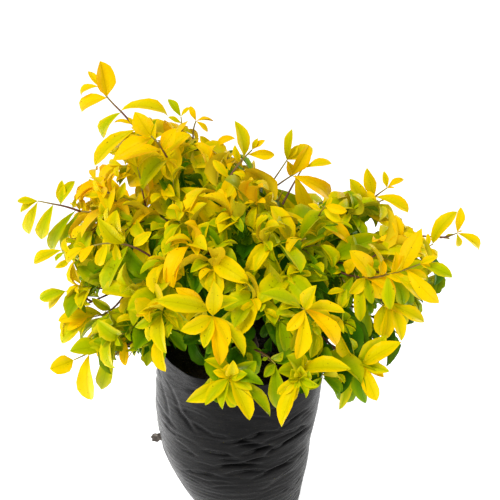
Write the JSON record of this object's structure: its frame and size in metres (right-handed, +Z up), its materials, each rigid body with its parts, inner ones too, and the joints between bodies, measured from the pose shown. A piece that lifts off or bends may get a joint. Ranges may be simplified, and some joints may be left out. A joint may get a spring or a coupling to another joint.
{
  "type": "potted golden duranta shrub",
  "caption": "Unclipped golden duranta shrub in a soft black film grow bag filled with soil: trunk, boughs and side branches that end in masses of leafy twigs.",
  "frame": {"origin": "middle of the grow bag's flat underside", "axes": "+Z up; +X to the right and +Y away from the viewer as the picture shows the plant"},
  "size_m": [0.5501, 0.4168, 0.5973],
  "materials": {
    "film": "creased black polythene film with a satin sheen",
    "soil": "moist crumbly potting soil",
    "bark": "grey brown bark, lightly ridged",
    "leaf": "golden yellow to lime leaf, satin"
  },
  "bodies": {
    "root": {"bough_top_centre": "bark", "bough_top_left": "bark", "bough_top_right": "bark", "bough_upper_back": "bark", "bough_upper_back_left": "bark", "bough_upper_back_right": "bark", "bough_upper_front_left": "bark", "bough_upper_front_right": "bark", "bough_upper_left": "bark", "bough_upper_right": "bark", "branch_low_back": "bark", "branch_low_back_left": "bark", "branch_low_back_right": "bark", "branch_low_front": "bark", "branch_low_front_left": "bark", "branch_low_front_right": "bark", "branch_low_left": "bark", "branch_low_right": "bark", "branch_middle_back": "bark", "branch_middle_back_left": "bark", "branch_middle_back_right": "bark", "branch_middle_front": "bark", "branch_middle_front_left": "bark", "branch_middle_front_right": "bark", "branch_middle_left": "bark", "branch_middle_right": "bark", "film_flap": "film", "foliage_low_back": "leaf", "foliage_low_back_left": "leaf", "foliage_low_back_right": "leaf", "foliage_low_front": "leaf", "foliage_low_front_left": "leaf", "foliage_low_front_right": "leaf", "foliage_low_left": "leaf", "foliage_low_right": "leaf", "foliage_middle_back": "leaf", "foliage_middle_back_left": "leaf", "foliage_middle_back_right": "leaf", "foliage_middle_front": "leaf", "foliage_middle_front_left": "leaf", "foliage_middle_front_right": "leaf", "foliage_middle_left": "leaf", "foliage_middle_right": "leaf", "foliage_top_centre": "leaf", "foliage_top_left": "leaf", "foliage_top_right": "leaf", "foliage_upper_back": "leaf", "foliage_upper_back_left": "leaf", "foliage_upper_back_right": "leaf", "foliage_upper_front_left": "leaf", "foliage_upper_front_right": "leaf", "foliage_upper_left": "leaf", "foliage_upper_right": "leaf", "grow_bag": "film", "soil": "soil", "trunk": "bark"}
  },
  "joints": []
}
